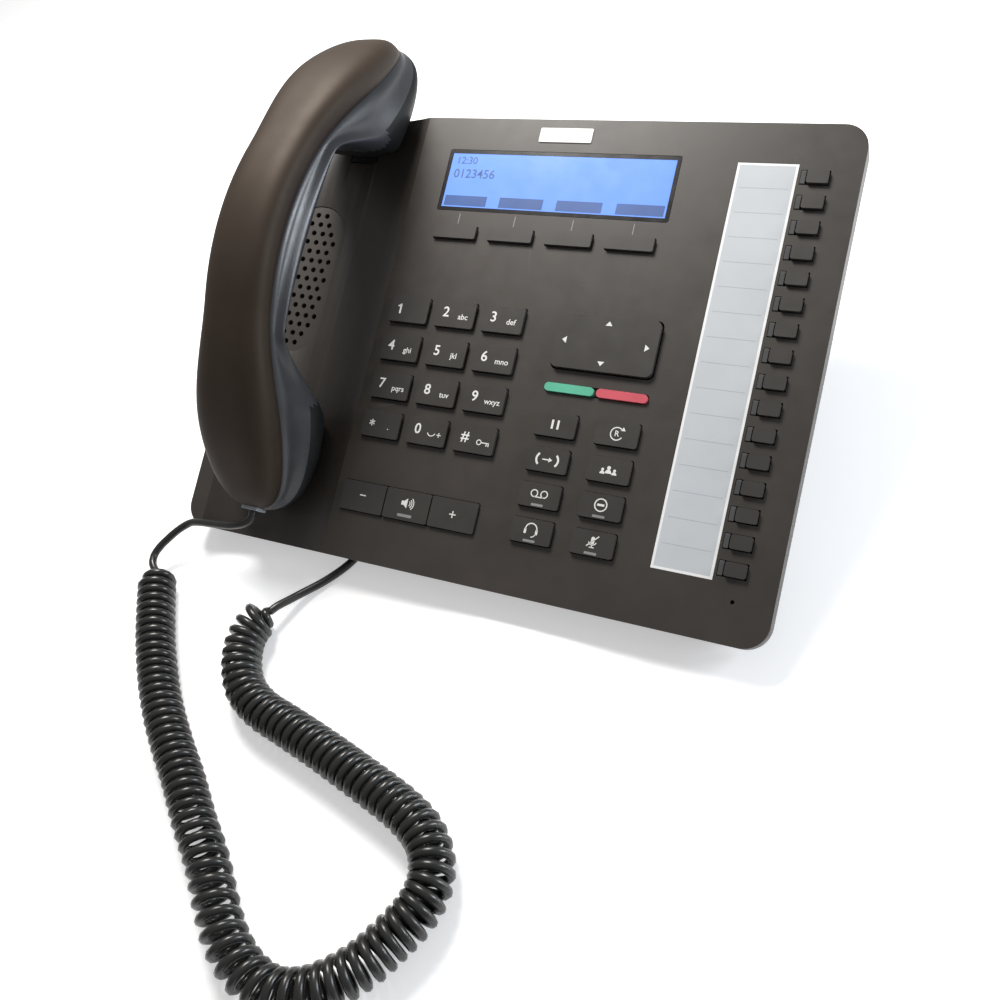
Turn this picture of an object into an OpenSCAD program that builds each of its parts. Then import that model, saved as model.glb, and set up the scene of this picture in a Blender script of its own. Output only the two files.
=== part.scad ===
// Desk telephone: a sloping console with a corded handset, keys that press, a folding stand
// and a curly cord. Millimetres, +Z up, the user sits on the -Y side.
// Most pieces are drawn in the face frame (x right, y up the slope, z out of the face,
// z = 0 on the face) and on_face() carries them to the desk frame.

/* [Console] */
// Width of the console
body_w = 240; // [236:1:252]
// Length of the face up the slope
body_h = 182; // [180:1:194]
// Depth of the rim of the front cover
rim_d = 7.8; // [7.8:0.1:10]
// Thickness of the rear cover's lip under the rim
lip_t = 1.2; // [1:0.1:2]
// Corner radius of the face
corner_r = 9; // [6:1:12]
// Thickness of the face plate
plate_t = 2.5; // [2.3:0.1:2.6]
// Wall of the two housings
wall = 2.4; // [2:0.1:3]
// Depth of the rear cover below the rim
rear_d = 25; // [24:1:28]
// How far the rear cover stands in from the rim
rear_inset = 5; // [4:0.5:8]
// Slope of the face
tilt = 25; // [22:1:28]

/* [Keys] */
// Gap between a key and its hole
key_gap = 0.3; // [0.2:0.05:0.4]
// Travel of the small keys
key_travel = 0.8; // [0.5:0.1:0.9]
// Height of the dial keys above the face
dial_rise = 1.5; // [1:0.1:3]
// Height of the other keys above the face
key_rise = 1.4; // [1:0.1:2.5]
// Width of a dial key
dial_w = 16.8; // [15:0.1:17.5]
// Length of a dial key
dial_h = 10.4; // [9:0.1:11.5]
// Spacing of the dial keys across
dial_px = 20.4; // [20.2:0.1:21]
// Spacing of the dial keys up the slope
dial_py = 15.6; // [14.8:0.1:16]
// Width of a soft key
soft_w = 18.6; // [16:0.1:20]
// Spacing of the soft keys
soft_p = 24; // [23:0.5:25]
// Width of a function key
fn_w = 15.8; // [14:0.1:17]
// Spacing of the function keys up the slope
fn_py = 13.15; // [12.5:0.05:13.2]
// Width of the navigation key
nav_w = 38.6; // [34:0.1:40]
// Width of one volume key
vol_w = 19.2; // [17:0.1:19.4]
// Spacing of the line keys up the slope
line_p = 9.17; // [8.8:0.01:9.3]
// Length of a line key up the slope
line_h = 4.9; // [4:0.1:5.4]

/* [Display] */
// Width of the display window
lcd_w = 95.4; // [90:0.1:97]
// Height of the display window
lcd_h = 25.8; // [24:0.1:27]
// Width of the label window
label_w = 21.6; // [18:0.1:22]
// Height of the label window
label_h = 147; // [145:1:148]

/* [Handset] */
// Length of the handset
hs_len = 198; // [190:1:202]
// Share of the width at the parting line
hs_lap = 0.76; // [0.7:0.01:0.95]
// Rise of the arch at the parting line
hs_arch = 43; // [38:1:46]
// Half width of the ends
hs_end_w = 23.5; // [22:0.5:25]
// Half width of the grip
hs_grip_w = 17.5; // [16:0.5:20]
// Wall of the handset shells
hs_wall = 2; // [1.6:0.1:2.4]

/* [Stand] */
// Width of the stand
stand_w = 130; // [100:5:150]
// Thickness of the stand
stand_t = 4; // [3.5:0.5:5]
// Radius of the stand's hinge pins
stand_pin_r = 2; // [1.5:0.1:2.2]
// How far the stand leans back
stand_lean = 27; // [20:1:32]

/* [Cord] */
// Outer diameter of the curly part
coil_d = 15.5; // [13:0.5:17]
// Diameter of the straight leads
lead_d = 3.2; // [2.8:0.1:3.5]

/* [Hidden] */
$fn = 32;

// Depths below the face
flange_top = -plate_t - 0.3;
flange_t = 1;
mat_top = flange_top - flange_t - key_travel - 0.3;
mat_t = 1.2;
board_top = mat_top - mat_t;
board_t = 1.6;

// Places on the face
dial_x = -18.3;
dial_y = -14.1;
soft_x = 8.45;
soft_y = 42.7;
soft_h = 5.3;
fn_x = [32.4, 55.8];
fn_y = -27.5;
fn_h = 8.9;
nav_x = 44.2;
nav_y = 4.2;
nav_h = 20.8;
call_y = -13.7;
call_w = 19.1;
call_h = 3.2;
vol_x = -19.3;
vol_y = -66.6;
vol_h = 11.6;
vol_p = vol_w + 0.5;
lcd_x = 9.1;
lcd_y = 64.7;
label_x = 87.9;
label_y = 2.4;
line_x = 105.6;
line_w = 7.3;
line_y = 71.1;
lamp_x = 100.6;
lamp_w = 1.7;
mic_x = 106.5;
mic_y = -76.8;

// Handset cradle: a shallow round trough along the whole face
hs_x = -82;
hs_skew = 4;
hs_y = 19;
cradle_x = -82;
hs_z0 = 8;
hs_gap = 0.35;
cradle_w = 60;
cradle_dip = 5;
cradle_r = (cradle_w * cradle_w / 4 + cradle_dip * cradle_dip) / (2 * cradle_dip);
grille_x = -95;
grille_y = 20;
grille_w = 24;
grille_h = 64;

// Handset: one curved form, split at its parting line into two hollow shells.
// u runs from -1 at the mouthpiece to 1 at the earpiece.
hs_n = 44;
hs_m = 14;
hs_grip_d = 14;
hs_crown = 9.5;
hs_split = 0.05;
hs_foot = -cradle_dip + hs_gap;
function smooth(a, b, v) = let (t = min(1, max(0, (v - a) / (b - a)))) t * t * (3 - 2 * t);
function curve(c, n) = sign(c) * pow(abs(c), n);
function hs_seam(u) = hs_z0 + hs_arch * pow(max(0, 1 - u * u), 1.2);
function hs_middle(u) = hs_x + hs_skew * (1 + u) / 2;
function hs_low(u) = let (top = hs_z0 + hs_arch - hs_grip_d)
    top - (top - hs_foot) * smooth(0.36, 0.6, abs(u));
function hs_taper(u) = pow(max(0, 1 - pow(abs(u), 8)), 0.42);
function hs_half(u) = (hs_grip_w + (hs_end_w - hs_grip_w) * smooth(0.3, 0.75, abs(u))) * hs_taper(u);
function hs_up(u) = (hs_crown + 4.5 * smooth(0.3, 0.8, abs(u))) * hs_taper(u);
function hs_down(u) = (hs_seam(u) - hs_low(u)) * pow(max(0, 1 - pow(abs(u), 14)), 0.5);
function hs_flare(a) = 1 - smooth(0, 0.45, sin(a));
function hs_u(i) = let (t = 2 * i / hs_n - 1) 0.55 * sin(90 * t) + 0.45 * t;
// One point of a shell: side is 1 above the parting line and -1 below it; cut is 0 outside and
// the wall inside
function hs_point(i, j, side, cut) =
    let (v = hs_u(i) * (1 - 2 * cut / hs_len),
         a = 180 * j / hs_m,
         half = hs_half(v) * (1 - cut / hs_grip_w),
         depth = side > 0 ? hs_up(v) * (1 - cut / hs_crown) : hs_down(v) * (1 - cut / hs_grip_d))
    [hs_middle(v) + half * curve(cos(a), 0.62) * (side > 0 ? hs_lap : 1 - (1 - hs_lap) * hs_flare(a)),
     hs_y + v * hs_len / 2,
     hs_seam(v) + side * (hs_split + depth * curve(sin(a), 0.62))];
hs_back = max([for (i = [1:hs_n - 1], j = [0:hs_m])
    let (p = hs_point(i, j, -1, 0)) p[1] * cos(tilt) - p[2] * sin(tilt)]);

// Screws of the case
screw_at = [[-47.5, 76], [68.5, 76]];
screw_r = 1.4;
boss_r = 3.5;

// Rear cover, feet and stand
stand_pin_gap = 0.06;
rear_w = body_w - 2 * rear_inset;
rear_h = body_h - 2 * rear_inset;
rear_z = -rim_d - rear_d;
foot_h = 3.8;
foot_r = 7;
foot_gap = 0.2;
desk_z = -(body_h / 2) * sin(tilt) - (rim_d + lip_t) * cos(tilt) - foot_gap - foot_h;
stand_pad = 1.6;
stand_gap = 1.6;
hinge_y = 48;
hinge_z = rear_z - stand_t / 2 - stand_gap;
hinge_up = hinge_y * sin(tilt) + hinge_z * cos(tilt) - desk_z;
stand_len = (hinge_up - stand_pad) / cos(stand_lean);

front_y = -(body_h / 2) * cos(tilt);
shift_y = -(front_y + hs_back) / 2;
shift_z = -desk_z;
foot_x = rear_w / 2 - 22;
foot_y = front_y + 18;

module on_face() translate([0, shift_y, shift_z]) rotate([tilt, 0, 0]) children();

// Solids used again and again
module slab(w, h, r, z0, z1) translate([0, 0, z0]) linear_extrude(z1 - z0) outline(w, h, r);
module outline(w, h, r) {
    square([w - 2 * r, h], center = true);
    square([w, h - 2 * r], center = true);
    for (sx = [-1, 1], sy = [-1, 1])
        translate([sx * (w / 2 - r), sy * (h / 2 - r)]) circle(r);
}
module block(x0, x1, y0, y1, z0, z1) translate([x0, y0, z0]) cube([x1 - x0, y1 - y0, z1 - z0]);

// A key: a cap through the face plate on a flange that the plate holds down
module key(w, h, rise, r = 1) {
    slab(w, h, r, flange_top - flange_t, rise);
    slab(w + 1.6, h + 1.6, r, flange_top - flange_t, flange_top);
}
module key_hole(w, h, r = 1) slab(w + 2 * key_gap, h + 2 * key_gap, r, -plate_t - 1, 1);

function dial_at(i) = [dial_x + (i % 3 - 1) * dial_px, dial_y + 23.4 - floor(i / 3) * dial_py];
function soft_at(i) = [soft_x + (i - 1.5) * soft_p, soft_y];
function fn_at(i) = [fn_x[i % 2], fn_y - floor(i / 2) * fn_py];
function vol_at(i) = [vol_x + (i - 1) * vol_p, vol_y];
function line_at(i) = [line_x, line_y - i * line_p];
function call_at(i) = [nav_x + (i - 0.5) * (call_w + 1), call_y];

module dial_key(i) color([0.17, 0.17, 0.16]) on_face() translate(dial_at(i)) key(dial_w, dial_h, dial_rise);
module soft_key(i) color([0.2, 0.19, 0.18]) on_face() translate(soft_at(i))
    key(soft_w, soft_h, key_rise, 0.8);
module fn_key(i) color([0.18, 0.18, 0.17]) on_face() translate(fn_at(i)) key(fn_w, fn_h, key_rise);
module volume_key(i) color([0.18, 0.18, 0.17]) on_face() translate(vol_at(i)) {
    slab(vol_w, vol_h, 0.8, flange_top - flange_t, 1);
    slab(vol_w, vol_h + 1.6, 0.8, flange_top - flange_t, flange_top);
}
module call_key(i, tint) color(tint) on_face() translate(call_at(i)) {
    slab(call_w, call_h, 1.5, flange_top - flange_t, 1);
    slab(call_w, call_h + 1.6, 1, flange_top - flange_t, flange_top);
}
// A moulded strip that carries the caps of some line keys
module line_keys(first, last) color([0.2, 0.2, 0.19]) on_face() {
    for (i = [first:last]) translate(line_at(i))
        slab(line_w, line_h, 0.8, flange_top - flange_t, key_rise);
    block(line_x - 2, line_x + 3.4, line_at(last)[1] - line_h / 2, line_at(first)[1] + line_h / 2,
        flange_top - flange_t, flange_top);
}

// The navigation key rocks two ways on a cross-shaped pivot
nav_pin_r = 0.9;
nav_pin_z = (board_top - plate_t) / 2 - 0.2;
nav_pin_gap = 0.06;
module nav_pad() color([0.18, 0.18, 0.17]) on_face() translate([nav_x, nav_y]) {
    slab(nav_w, nav_h, 2.5, -plate_t, key_rise + 0.4);
    for (s = [-1, 1]) difference() {
        translate([-1.8, s > 0 ? 3 : -4.8, nav_pin_z - 1.2]) cube([3.6, 1.8, -plate_t - nav_pin_z + 1.21]);
        translate([0, -7, nav_pin_z]) rotate([-90, 0, 0]) cylinder(r = nav_pin_r + nav_pin_gap, h = 14);
    }
}
module nav_pivot() color("silver") on_face() translate([nav_x, nav_y, nav_pin_z]) {
    translate([-5.2, 0, 0]) rotate([0, 90, 0]) cylinder(r = nav_pin_r, h = 10.4);
    translate([0, -5.2, 0]) rotate([-90, 0, 0]) cylinder(r = nav_pin_r, h = 10.4);
}
module nav_bearings() translate([nav_x, nav_y]) for (s = [-1, 1]) difference() {
    translate([s > 0 ? 3 : -5, -1.5, board_top - 0.01]) cube([2, 3, nav_pin_z + 1.3 - board_top]);
    translate([-7, 0, nav_pin_z]) rotate([0, 90, 0]) cylinder(r = nav_pin_r + nav_pin_gap, h = 14);
}

// Front cover: face plate, rim, cradle trough and every opening
module trough(r) translate([cradle_x, 0, cradle_r - cradle_dip]) rotate([90, 0, 0])
    cylinder(r = r, h = body_h + 2, center = true, $fn = 128);
module front_cover() color([0.25, 0.23, 0.21]) on_face() difference() {
    union() {
        difference() {
            slab(body_w, body_h, corner_r, -rim_d, 0);
            slab(body_w - 2 * wall, body_h - 2 * wall, corner_r - wall, -rim_d - 1, -plate_t);
        }
        intersection() {
            slab(body_w - 1, body_h - 1, corner_r - 0.5, -rim_d, -0.01);
            trough(cradle_r + plate_t);
        }
        for (p = screw_at) translate([p[0], p[1], -rim_d + 0.1]) cylinder(r = boss_r, h = rim_d - plate_t);
        hook_guide();
    }
    trough(cradle_r);
    for (p = screw_at) translate([p[0], p[1], -rim_d - 1]) cylinder(r = screw_r + 0.05, h = rim_d - 2.2);
    translate([grille_x, grille_y]) slab(grille_w, grille_h, grille_w / 2 - 0.01, -rim_d - 1, 1);
    for (i = [0:11]) translate(dial_at(i)) key_hole(dial_w, dial_h);
    for (i = [0:3]) translate(soft_at(i)) key_hole(soft_w, soft_h, 0.8);
    for (i = [0:7]) translate(fn_at(i)) key_hole(fn_w, fn_h);
    translate([vol_x, vol_y]) key_hole(vol_w + 2 * vol_p, vol_h);
    translate([nav_x, call_y]) key_hole(2 * call_w + 1, call_h, 1.5);
    translate([nav_x, nav_y]) slab(nav_w + 1, nav_h + 1, 2.5, -plate_t - 1, 1);
    for (i = [0:15]) block(lamp_x - lamp_w / 2 - 0.2, line_x + line_w / 2 + key_gap,
        line_at(i)[1] - line_h / 2 - key_gap, line_at(i)[1] + line_h / 2 + key_gap, -plate_t - 1, 1);
    translate([lcd_x, lcd_y]) slab(lcd_w, lcd_h, 0.8, -1.2, 1);
    translate([lcd_x, lcd_y]) slab(lcd_w - 3, lcd_h - 3, 0.5, -plate_t - 1, 1);
    translate([label_x, label_y]) slab(label_w, label_h, 1, -1.3, 1);
    translate([mic_x, mic_y, -plate_t - 1]) cylinder(r = 0.7, h = plate_t + 2);
    translate([hs_x, hook_y]) slab(hook_w + 1, hook_h + 1, 1, -rim_d - 1, 1);
}

// The hook switch rises as the handset leaves the trough
hook_y = 76;
hook_w = 12;
hook_h = 6;
hook_travel = 3;
hook_top = -cradle_dip + 0.05;
hook_stop = -cradle_dip - plate_t - hook_travel - 0.3;
module hook_switch() color([0.12, 0.12, 0.12]) on_face() translate([hs_x, hook_y]) {
    slab(hook_w, hook_h, 1, hook_stop - 1, hook_top);
    slab(hook_w + 6, hook_h + 4, 1, hook_stop - 1.6, hook_stop);
}
module hook_guide() translate([hs_x, hook_y]) difference() {
    slab(hook_w + 10, hook_h + 8, 1, hook_stop - 3.5, -cradle_dip - plate_t + 0.3);
    slab(hook_w + 6.6, hook_h + 4.6, 1, hook_stop - 2, 0);
}

module speaker_grille() color([0.22, 0.21, 0.2]) on_face() difference() {
    intersection() {
        trough(cradle_r + plate_t);
        translate([grille_x, grille_y])
            slab(grille_w - 0.4, grille_h - 0.4, grille_w / 2 - 0.21, -rim_d, -0.3);
    }
    trough(cradle_r + 0.3);
    for (r = [-7:7], c = [-2:2]) {
        x = c * 4 + (r % 2 == 0 ? 0 : 2);
        if (norm([x / 9.6, r * 4 / 29.5]) < 1)
            translate([grille_x + x, grille_y + r * 4, -rim_d - 1])
                cylinder(r = 1.1, h = rim_d + 2, $fn = 16);
    }
}
speaker_r = 15;
speaker_top = -cradle_dip - plate_t - 0.35;
module loudspeaker() color([0.3, 0.3, 0.32]) on_face() translate([grille_x, grille_y, speaker_top]) {
    translate([0, 0, -3]) cylinder(r = speaker_r, h = 3);
    translate([0, 0, -8]) cylinder(r1 = 10, r2 = speaker_r - 1.5, h = 5.01);
    translate([0, 0, -13]) cylinder(r = 10, h = 5.01);
}

// Rear cover: a tray under a lip, flat where it faces the desk
module rear_solid(inset, z0) intersection() {
    slab(rear_w - 2 * inset, rear_h - 2 * inset, corner_r - inset, z0, -rim_d - 0.05);
    rotate([-tilt, 0, 0]) translate([-body_w, -body_w, desk_z + foot_h + inset])
        cube([2 * body_w, 2 * body_w, 4 * body_w]);
}
module stand_lug(x) difference() {
    union() {
        translate([x, hinge_y, hinge_z]) rotate([0, 90, 0]) cylinder(r = stand_pin_r + 2.5, h = 4);
        block(x, x + 4, hinge_y - stand_pin_r - 2.5, hinge_y + stand_pin_r + 2.5, hinge_z, rear_z + 0.5);
    }
    translate([x - 1, hinge_y, hinge_z]) rotate([0, 90, 0])
        cylinder(r = stand_pin_r + stand_pin_gap, h = 6);
}
module rear_cover() color([0.2, 0.19, 0.18]) on_face() {
    difference() {
        union() {
            difference() {
                union() {
                    rear_solid(0, rear_z);
                    slab(body_w - 1, body_h - 1, corner_r - 0.5, -rim_d - lip_t, -rim_d - 0.05);
                }
                rear_solid(wall, rear_z + wall);
                slab(rear_w - 2 * wall, rear_h - 2 * wall, corner_r - wall, -rim_d - 3, -rim_d + 1);
            }
            for (p = screw_at) translate([p[0], p[1], rear_z + 1]) cylinder(r = boss_r, h = rear_d - 1.1);
        }
        for (p = screw_at) {
            translate([p[0], p[1], rear_z - 1]) cylinder(r = screw_r + 0.2, h = rear_d + 4);
            translate([p[0], p[1], rear_z - 1]) cylinder(r = screw_r + 1.8, h = 3);
        }
        block(socket_at(0) - socket_w / 2 - 0.3, socket_at(2) + socket_w / 2 + 0.3,
            rear_h / 2 - wall - 1, body_h / 2 + 1, socket_z - 0.3, 0);
        block(jack_x[0] - jack_w / 2 - 0.5, jack_x[1] + jack_w / 2 + 0.5, well_y0, well_y1,
            rear_z - 1, rear_z + well_d);
    }
    for (s = [-1, 1]) stand_lug(s > 0 ? stand_w / 2 + 0.4 : -stand_w / 2 - 4.4);
}

socket_x = -10;
socket_p = 22;
socket_w = 16;
socket_h = 13.4;
socket_z = -rim_d - 21.5;
socket_d = 16;
port_w = 12;
port_h = 8.4;
port_d = 12;
power_r = 2.75;
function socket_at(i) = socket_x + i * socket_p;
// Two network sockets and the power inlet, in one panel that closes the notch of the back wall
module rear_sockets() color([0.12, 0.12, 0.13]) on_face() difference() {
    union() {
        for (i = [0:2]) translate([socket_at(i) - socket_w / 2, rear_h / 2 - socket_d, socket_z])
            cube([socket_w, socket_d - 0.4, socket_h]);
        block(socket_at(0) - socket_w / 2, socket_at(2) + socket_w / 2, rear_h / 2 - wall, rear_h / 2 - 0.4,
            socket_z, -rim_d - 0.2);
    }
    for (i = [0:1]) block(socket_at(i) - port_w / 2, socket_at(i) + port_w / 2,
        rear_h / 2 - port_d, rear_h / 2 + 1, socket_z + 2, socket_z + 2 + port_h);
    translate([socket_at(2), rear_h / 2 + 1, socket_z + socket_h / 2]) rotate([90, 0, 0])
        cylinder(r = power_r, h = port_d);
}

jack_x = [-62, -40];
jack_y = -38;
jack_w = 11;
jack_l = 16;
jack_t = 8;
plug_w = 7.6;
plug_t = 6.2;
plug_l = 9;
plug_out = 1;
plug_gap = 0.2;
plug_z = rear_z + 1.2;
well_y0 = jack_y - 13;
well_y1 = jack_y + jack_l + 1;
well_d = 9;
// Headset and handset sockets, open to the front, in a well of the underside
module cord_sockets() color([0.12, 0.12, 0.13]) on_face() {
    for (x = jack_x) difference() {
        translate([x - jack_w / 2, jack_y, rear_z + 0.3]) cube([jack_w, jack_l, jack_t]);
        block(x - plug_w / 2 - plug_gap, x + plug_w / 2 + plug_gap, jack_y - 1, jack_y + plug_l - 0.5,
            plug_z - plug_gap, plug_z + plug_t + plug_gap);
    }
    block(jack_x[0] - jack_w / 2 - 2, jack_x[1] + jack_w / 2 + 2, well_y0 - 0.5, well_y1 + 2,
        rear_z + jack_t + 0.29, rear_z + jack_t + 1.8);
}
module base_plug() color([0.75, 0.77, 0.8, 0.6]) on_face()
    translate([jack_x[1] - plug_w / 2, jack_y - plug_out, plug_z]) cube([plug_w, plug_l, plug_t]);

module main_board() color([0.1, 0.35, 0.2]) on_face() difference() {
    union() {
        block(-52, body_w / 2 - wall - 1.5, -body_h / 2 + 9, body_h / 2 - 9,
            board_top - board_t, board_top);
        nav_bearings();
    }
    for (p = screw_at) translate([p[0], p[1], board_top - 5]) cylinder(r = boss_r + 0.4, h = 10);
}
module keypad_mat() color([0.35, 0.35, 0.36]) on_face() difference() {
    union() {
        block(-49, 11.5, -76, 16, board_top + 0.02, mat_top);
        block(21.5, 66, -74, 18, board_top + 0.02, mat_top);
        block(-37, 55, 38, 47.5, board_top + 0.02, mat_top);
        block(98.5, 110.5, -70, 75, board_top + 0.02, mat_top);
    }
    translate([nav_x, nav_y]) slab(13, 13, 1, board_top - 1, mat_top + 1);
}
module display_module() color([0.35, 0.5, 0.85]) on_face() translate([lcd_x, lcd_y])
    slab(lcd_w + 8, lcd_h + 6, 1, board_top + 0.05, -plate_t - 0.1);
module display_window() color([0.6, 0.75, 0.95, 0.5]) on_face() translate([lcd_x, lcd_y])
    slab(lcd_w - 0.3, lcd_h - 0.3, 0.7, -1.15, -0.15);
module label_card() color([0.8, 0.81, 0.83]) on_face() translate([label_x, label_y])
    slab(label_w - 0.6, label_h - 0.6, 0.8, -1.28, -1);
module label_cover() color([0.9, 0.92, 0.95, 0.4]) on_face() translate([label_x, label_y])
    slab(label_w - 0.3, label_h - 0.3, 0.9, -0.95, -0.05);
module line_lamps() color([0.5, 0.5, 0.52]) on_face() for (i = [0:15])
    block(lamp_x - lamp_w / 2, lamp_x + lamp_w / 2, line_at(i)[1] - line_h / 2, line_at(i)[1] + line_h / 2,
        mat_top + 0.05, 0.3);
module case_screws() color("silver") on_face() for (p = screw_at) translate([p[0], p[1], rear_z + 0.4]) {
    cylinder(r = screw_r + 1.5, h = 1.6);
    cylinder(r = screw_r, h = -rear_z - plate_t - 1.5);
}
module rubber_feet() color([0.08, 0.08, 0.08]) for (s = [-1, 1])
    translate([s * foot_x, foot_y + shift_y, 0]) cylinder(r = foot_r, h = foot_h);

// The stand hangs from two lugs and leans back; its pins are part of it
module desk_stand() color([0.18, 0.17, 0.16])
    translate([0, shift_y + hinge_y * cos(tilt) - hinge_z * sin(tilt), hinge_up])
    rotate([stand_lean, 0, 0]) difference() {
        union() {
            block(-stand_w / 2, stand_w / 2, -stand_t / 2, stand_t / 2, -stand_len, 0);
            translate([-stand_w / 2, 0, 0]) rotate([0, 90, 0]) cylinder(r = stand_t / 2, h = stand_w);
            translate([-stand_w / 2 - 4, 0, 0]) rotate([0, 90, 0])
                cylinder(r = stand_pin_r, h = stand_w + 8);
            translate([-stand_w / 2, 0, -stand_len]) rotate([0, 90, 0])
                cylinder(r = stand_pad, h = stand_w);
        }
        block(-stand_w / 2 + 18, stand_w / 2 - 18, -stand_t, stand_t, -stand_len + 12, -9);
    }

// The two handset shells are closed skins: outside, inside and the rim between them
function hs_skin(side, cut) = concat(
    [[hs_middle(-1), hs_y - hs_len / 2 + cut, hs_seam(2 * cut / hs_len - 1) + side * hs_split]],
    [for (i = [1:hs_n - 1], j = [0:hs_m]) hs_point(i, j, side, cut)],
    [[hs_middle(1), hs_y + hs_len / 2 - cut, hs_seam(1 - 2 * cut / hs_len) + side * hs_split]]);
hs_count = 2 + (hs_n - 1) * (hs_m + 1);
function hs_id(i, j, o) = o + (i == 0 ? 0 : i == hs_n ? hs_count - 1 : 1 + (i - 1) * (hs_m + 1) + j);
function hs_faces(o, turn) = [for (i = [0:hs_n - 1], j = [0:hs_m - 1], k = [0, 1])
    let (a = hs_id(i, j, o), b = hs_id(i, j + 1, o), c = hs_id(i + 1, j + 1, o), d = hs_id(i + 1, j, o),
         t = k == 0 ? [a, b, c] : [a, c, d])
    if (t[0] != t[1] && t[1] != t[2] && t[0] != t[2]) turn ? [t[2], t[1], t[0]] : t];
function hs_rim(turn) = [for (i = [0:hs_n - 1], j = [0, hs_m], k = [0, 1])
    let (a = hs_id(i, j, 0), b = hs_id(i + 1, j, 0),
         c = hs_id(i + 1, j, hs_count), d = hs_id(i, j, hs_count),
         t = k == 0 ? [a, b, c] : [a, c, d])
    (turn == (j == 0)) ? t : [t[2], t[1], t[0]]];
module hs_shell(side) difference() {
    polyhedron(
        concat(hs_skin(side, 0), hs_skin(side, hs_wall)),
        concat(hs_faces(0, side < 0), hs_faces(hs_count, side > 0), hs_rim(side > 0)), convexity = 6);
    translate([hs_x - plug_w / 2 - plug_gap, hs_y - hs_len / 2 - 1, hs_z0 - plug_t / 2 - plug_gap])
        cube([plug_w + 2 * plug_gap, plug_l + 1, plug_t + 2 * plug_gap]);
}
module handset_outer_shell() color([0.2, 0.18, 0.16]) on_face() hs_shell(1);
module handset_inner_shell() color([0.24, 0.24, 0.25]) on_face() hs_shell(-1);
module handset_plug() color([0.75, 0.77, 0.8, 0.6]) on_face()
    translate([hs_x - plug_w / 2, hs_y - hs_len / 2 - plug_out, hs_z0 - plug_t / 2])
        cube([plug_w, plug_l, plug_t]);
ear_y = 94;
mouth_y = -57;
function hs_share(y) = 2 * (y - hs_y) / hs_len;
module handset_receiver() color([0.3, 0.3, 0.32]) on_face()
    translate([hs_middle(hs_share(ear_y)), ear_y, 1.9]) cylinder(r = 12, h = 6);
module handset_microphone() color([0.3, 0.3, 0.32]) on_face()
    translate([hs_middle(hs_share(mouth_y)), mouth_y, -0.2]) cylinder(r = 4.8, h = 5);

// Cord: plain tubes along chosen points, the curly part at the width of its turns
coil_route = [[-122, -117, 7.8], [-115, -128, 7.8], [-105, -143, 7.8], [-94, -157, 7.8],
    [-84, -168, 7.8], [-72, -179, 7.8], [-60, -189, 7.8], [-48, -200, 7.8], [-36, -210, 7.8],
    [-26, -220, 7.8], [-16, -229, 7.8], [-5, -235, 7.8], [6, -237, 7.8], [16, -234, 7.8],
    [24, -228, 7.8], [31, -220, 7.8], [36, -211, 7.8], [40, -202, 7.8], [41, -193, 7.8],
    [38, -185, 7.8], [32, -179, 7.8], [24, -175, 7.8], [15, -172, 7.8], [4, -169, 7.8],
    [-7, -166, 7.8], [-19, -163, 7.8], [-32, -160, 7.8], [-45, -157, 7.8], [-55, -152, 7.8],
    [-62, -144, 7.8], [-66, -135, 7.8], [-66, -127, 7.8], [-63, -121, 7.8]];
base_route = [[-63, -121, 7.8], [-61.5, -117.3, 7], [-59.5, -113.3, 5.4], [-57.5, -109.3, 3.8],
    [-55, -105.3, 2.6], [-52, -101.3, 1.9], [-49, -97.3, 1.75], [-46, -92.8, 1.75], [-43.6, -87.8, 1.75],
    [-42, -81.8, 1.75], [-41, -75.8, 1.75], [-40.3, -68.8, 1.75], [-40, -61.8, 1.75], [-40, -53.8, 1.75],
    [-40, -47.8, 1.75], [-40, -45.1, 1.9], [-40, -42.2, 3.6], [-40, -38.8, 5.9], [-40, -34.2, 8.3]];
handset_route = [[-82, -87.75, 23.55], [-82.1, -90.4, 22.3], [-85, -92.8, 21], [-90.5, -94.1, 19.8],
    [-97, -94.4, 18.6], [-103, -94.4, 17.5], [-109, -94.4, 16.5], [-114, -94.8, 15.3],
    [-118, -96.6, 13.8], [-121.5, -99, 12.2], [-124.5, -102, 10.7], [-127, -105.6, 9.5],
    [-128.3, -109.4, 8.5], [-127.3, -113, 8], [-124.8, -115.4, 7.8], [-122, -117, 7.8]];
function unit(v) = v / norm(v);
function heading(route, i) = unit(route[min(i + 1, len(route) - 1)] - route[max(i - 1, 0)]);
function ring(route, i, r, n) = let (t = heading(route, i), s = unit(cross(t, [0, 0, 1])), q = cross(s, t))
    [for (k = [0:n - 1]) route[i] + r * (cos(360 * k / n) * s + sin(360 * k / n) * q)];
module tube(route, r, n) polyhedron(
    [for (i = [0:len(route) - 1]) each ring(route, i, r, n)],
    concat([[for (k = [0:n - 1]) n - 1 - k]],
        [for (i = [0:len(route) - 2], k = [0:n - 1])
            let (a = i * n + k, b = i * n + (k + 1) % n) each [[a, b, b + n], [a, b + n, a + n]]],
        [[for (k = [0:n - 1]) (len(route) - 1) * n + k]]), convexity = 10);
module cord_coil() color([0.13, 0.13, 0.13]) tube(coil_route, coil_d / 2, 12);
module base_lead() color([0.13, 0.13, 0.13]) tube(base_route, lead_d / 2, 8);
module handset_lead() color([0.13, 0.13, 0.13]) tube(handset_route, lead_d / 2, 8);

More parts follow.
